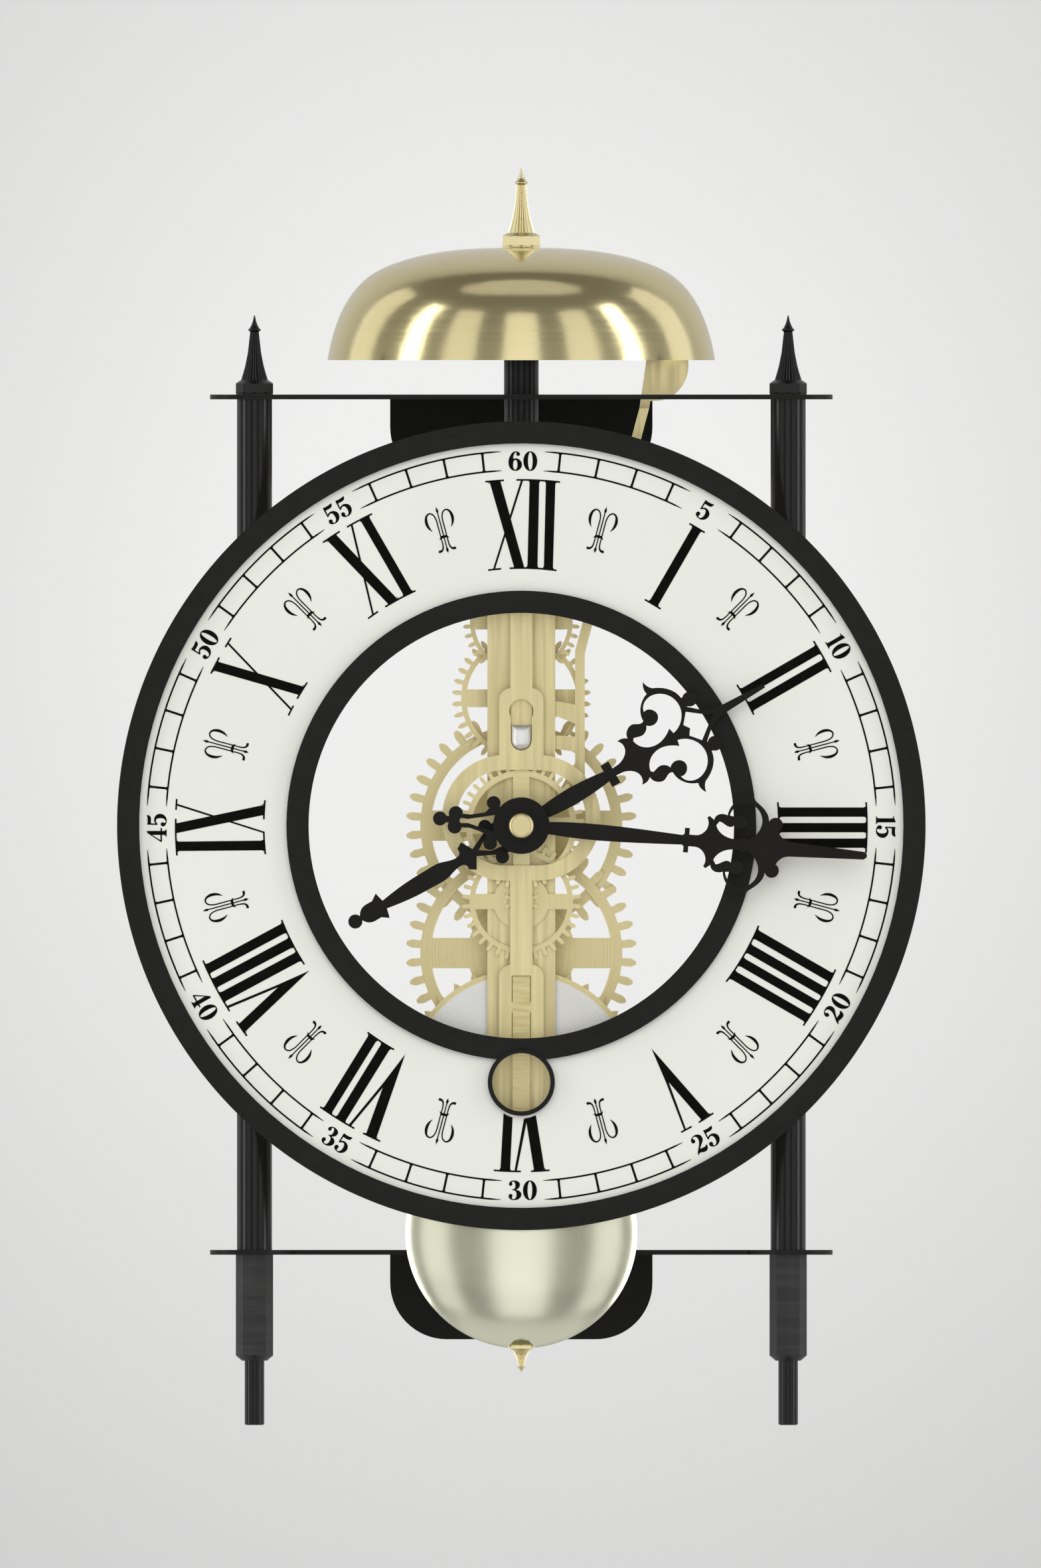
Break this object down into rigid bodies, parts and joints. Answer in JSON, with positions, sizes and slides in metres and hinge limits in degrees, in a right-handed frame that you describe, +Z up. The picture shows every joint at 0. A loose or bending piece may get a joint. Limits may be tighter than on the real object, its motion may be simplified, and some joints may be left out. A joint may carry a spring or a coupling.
{
  "type": "skeleton clock",
  "caption": "Wall skeleton clock: open brass train between two plates, pierced hands, ring dial, pendulum and a bell above.",
  "frame": {"origin": "centre of the hanging hole at the wall face of the top plate's tab", "axes": "+Z up, +Y into the wall, the dial faces -Y, +X to the right seen from the front"},
  "size_m": [0.2, 0.1066, 0.3108],
  "materials": {
    "frame_black": "satin black paint",
    "hand_black": "matte black",
    "bright_brass": "polished",
    "satin_brass": "satin, pale",
    "rod_brass": "cross brushed",
    "dial_white": "silk white with black print",
    "bob_metal": "polished pale gold",
    "silver": "polished",
    "steel": "fine brushed"
  },
  "bodies": {
    "frame": {"top_plate": "frame_black", "bottom_plate": "frame_black", "pillar_left": "frame_black", "pillar_right": "frame_black", "tie_rods": "frame_black", "leg_nut_left": "frame_black", "leg_nut_right": "frame_black", "finial_left": "frame_black", "finial_right": "frame_black", "bell": "bright_brass", "bell_post": "frame_black", "bell_finial": "bright_brass", "lower_post": "frame_black", "dial_plate": "dial_white", "dial_outer_ring": "frame_black", "dial_inner_ring": "frame_black", "winding_grommet": "frame_black", "dial_standoffs": "frame_black", "rear_plate": "satin_brass", "front_plate": "satin_brass", "plate_pillars": "satin_brass", "plate_screws": "steel", "suspension_cock": "satin_brass", "hammer_stud": "steel", "minute_stud": "steel", "click_screw": "steel"},
    "barrel": {"great_wheel": "satin_brass", "barrel_drum": "satin_brass", "barrel_cap": "silver", "mainspring": "steel"},
    "winding_arbor": {"barrel_arbor": "steel", "ratchet_wheel": "steel"},
    "click": {"click": "steel"},
    "second": {"second_wheel": "satin_brass", "second_arbor": "steel"},
    "centre": {"centre_wheel": "satin_brass", "centre_arbor": "steel", "cannon_pinion": "satin_brass", "lifting_cam": "satin_brass", "minute_hand": "hand_black", "hand_nut": "satin_brass"},
    "third": {"third_wheel": "satin_brass", "third_arbor": "steel"},
    "fourth": {"fourth_wheel": "satin_brass", "fourth_arbor": "steel"},
    "escape": {"escape_wheel": "satin_brass", "escape_arbor": "steel"},
    "minute_work": {"minute_wheel": "satin_brass", "minute_pinion": "satin_brass"},
    "hour": {"hour_wheel": "satin_brass", "hour_hand": "hand_black"},
    "crutch": {"anchor": "steel", "crutch": "satin_brass", "crutch_pin": "silver"},
    "pendulum": {"pendulum_leader": "satin_brass", "pendulum_rod": "rod_brass", "bob": "bob_metal", "rating_nut": "bright_brass"},
    "hammer": {"hammer_lever": "satin_brass", "hammer_head": "satin_brass"}
  },
  "joints": [
    {"name": "centre_turn", "type": "hinge", "parent": "frame", "child": "centre", "pos_m": [0, -0.07, -0.093], "axis": [0, 1, 0], "continuous": true},
    {"name": "barrel_turn", "type": "hinge", "parent": "frame", "child": "barrel", "pos_m": [0, -0.07, -0.1575], "axis": [0, 1, 0], "continuous": true},
    {"name": "second_turn", "type": "hinge", "parent": "frame", "child": "second", "pos_m": [0, -0.07, -0.1245], "axis": [0, 1, 0], "continuous": true},
    {"name": "third_turn", "type": "hinge", "parent": "frame", "child": "third", "pos_m": [0, -0.07, -0.0615], "axis": [0, 1, 0], "continuous": true},
    {"name": "fourth_turn", "type": "hinge", "parent": "frame", "child": "fourth", "pos_m": [0, -0.07, -0.0426], "axis": [0, 1, 0], "continuous": true},
    {"name": "escape_turn", "type": "hinge", "parent": "frame", "child": "escape", "pos_m": [0, -0.07, -0.02664], "axis": [0, 1, 0], "continuous": true},
    {"name": "minute_work_turn", "type": "hinge", "parent": "frame", "child": "minute_work", "pos_m": [0, -0.07, -0.11175], "axis": [0, 1, 0], "continuous": true},
    {"name": "hour_turn", "type": "hinge", "parent": "frame", "child": "hour", "pos_m": [0, -0.07, -0.093], "axis": [0, 1, 0], "continuous": true},
    {"name": "winding_turn", "type": "hinge", "parent": "frame", "child": "winding_arbor", "pos_m": [0, -0.07, -0.1575], "axis": [0, 1, 0], "continuous": true},
    {"name": "click_lift", "type": "hinge", "parent": "frame", "child": "click", "pos_m": [0.0175, -0.07, -0.1575], "axis": [0, 1, 0], "range_deg": [0, 12]},
    {"name": "pendulum_swing", "type": "hinge", "parent": "frame", "child": "pendulum", "pos_m": [0, -0.0876, -0.0168], "axis": [0, 1, 0], "range_deg": [-4, 4]},
    {"name": "crutch_swing", "type": "hinge", "parent": "frame", "child": "crutch", "pos_m": [0, -0.07, -0.0168], "axis": [0, 1, 0], "range_deg": [-4, 4]},
    {"name": "hammer_swing", "type": "hinge", "parent": "frame", "child": "hammer", "pos_m": [0, -0.07, -0.0711], "axis": [0, 1, 0], "range_deg": [-4, 0.8], "stiffness_Nm_per_rad": 0.6}
  ],
  "couplings": [
    {"joint": "second_turn", "follows": "centre_turn", "ratio": -0.16667},
    {"joint": "barrel_turn", "follows": "centre_turn", "ratio": 0.026316},
    {"joint": "third_turn", "follows": "centre_turn", "ratio": -6},
    {"joint": "fourth_turn", "follows": "centre_turn", "ratio": 36},
    {"joint": "escape_turn", "follows": "centre_turn", "ratio": -216},
    {"joint": "minute_work_turn", "follows": "centre_turn", "ratio": -0.33333},
    {"joint": "hour_turn", "follows": "centre_turn", "ratio": 0.083333},
    {"joint": "crutch_swing", "follows": "pendulum_swing", "ratio": 1}
  ]
}
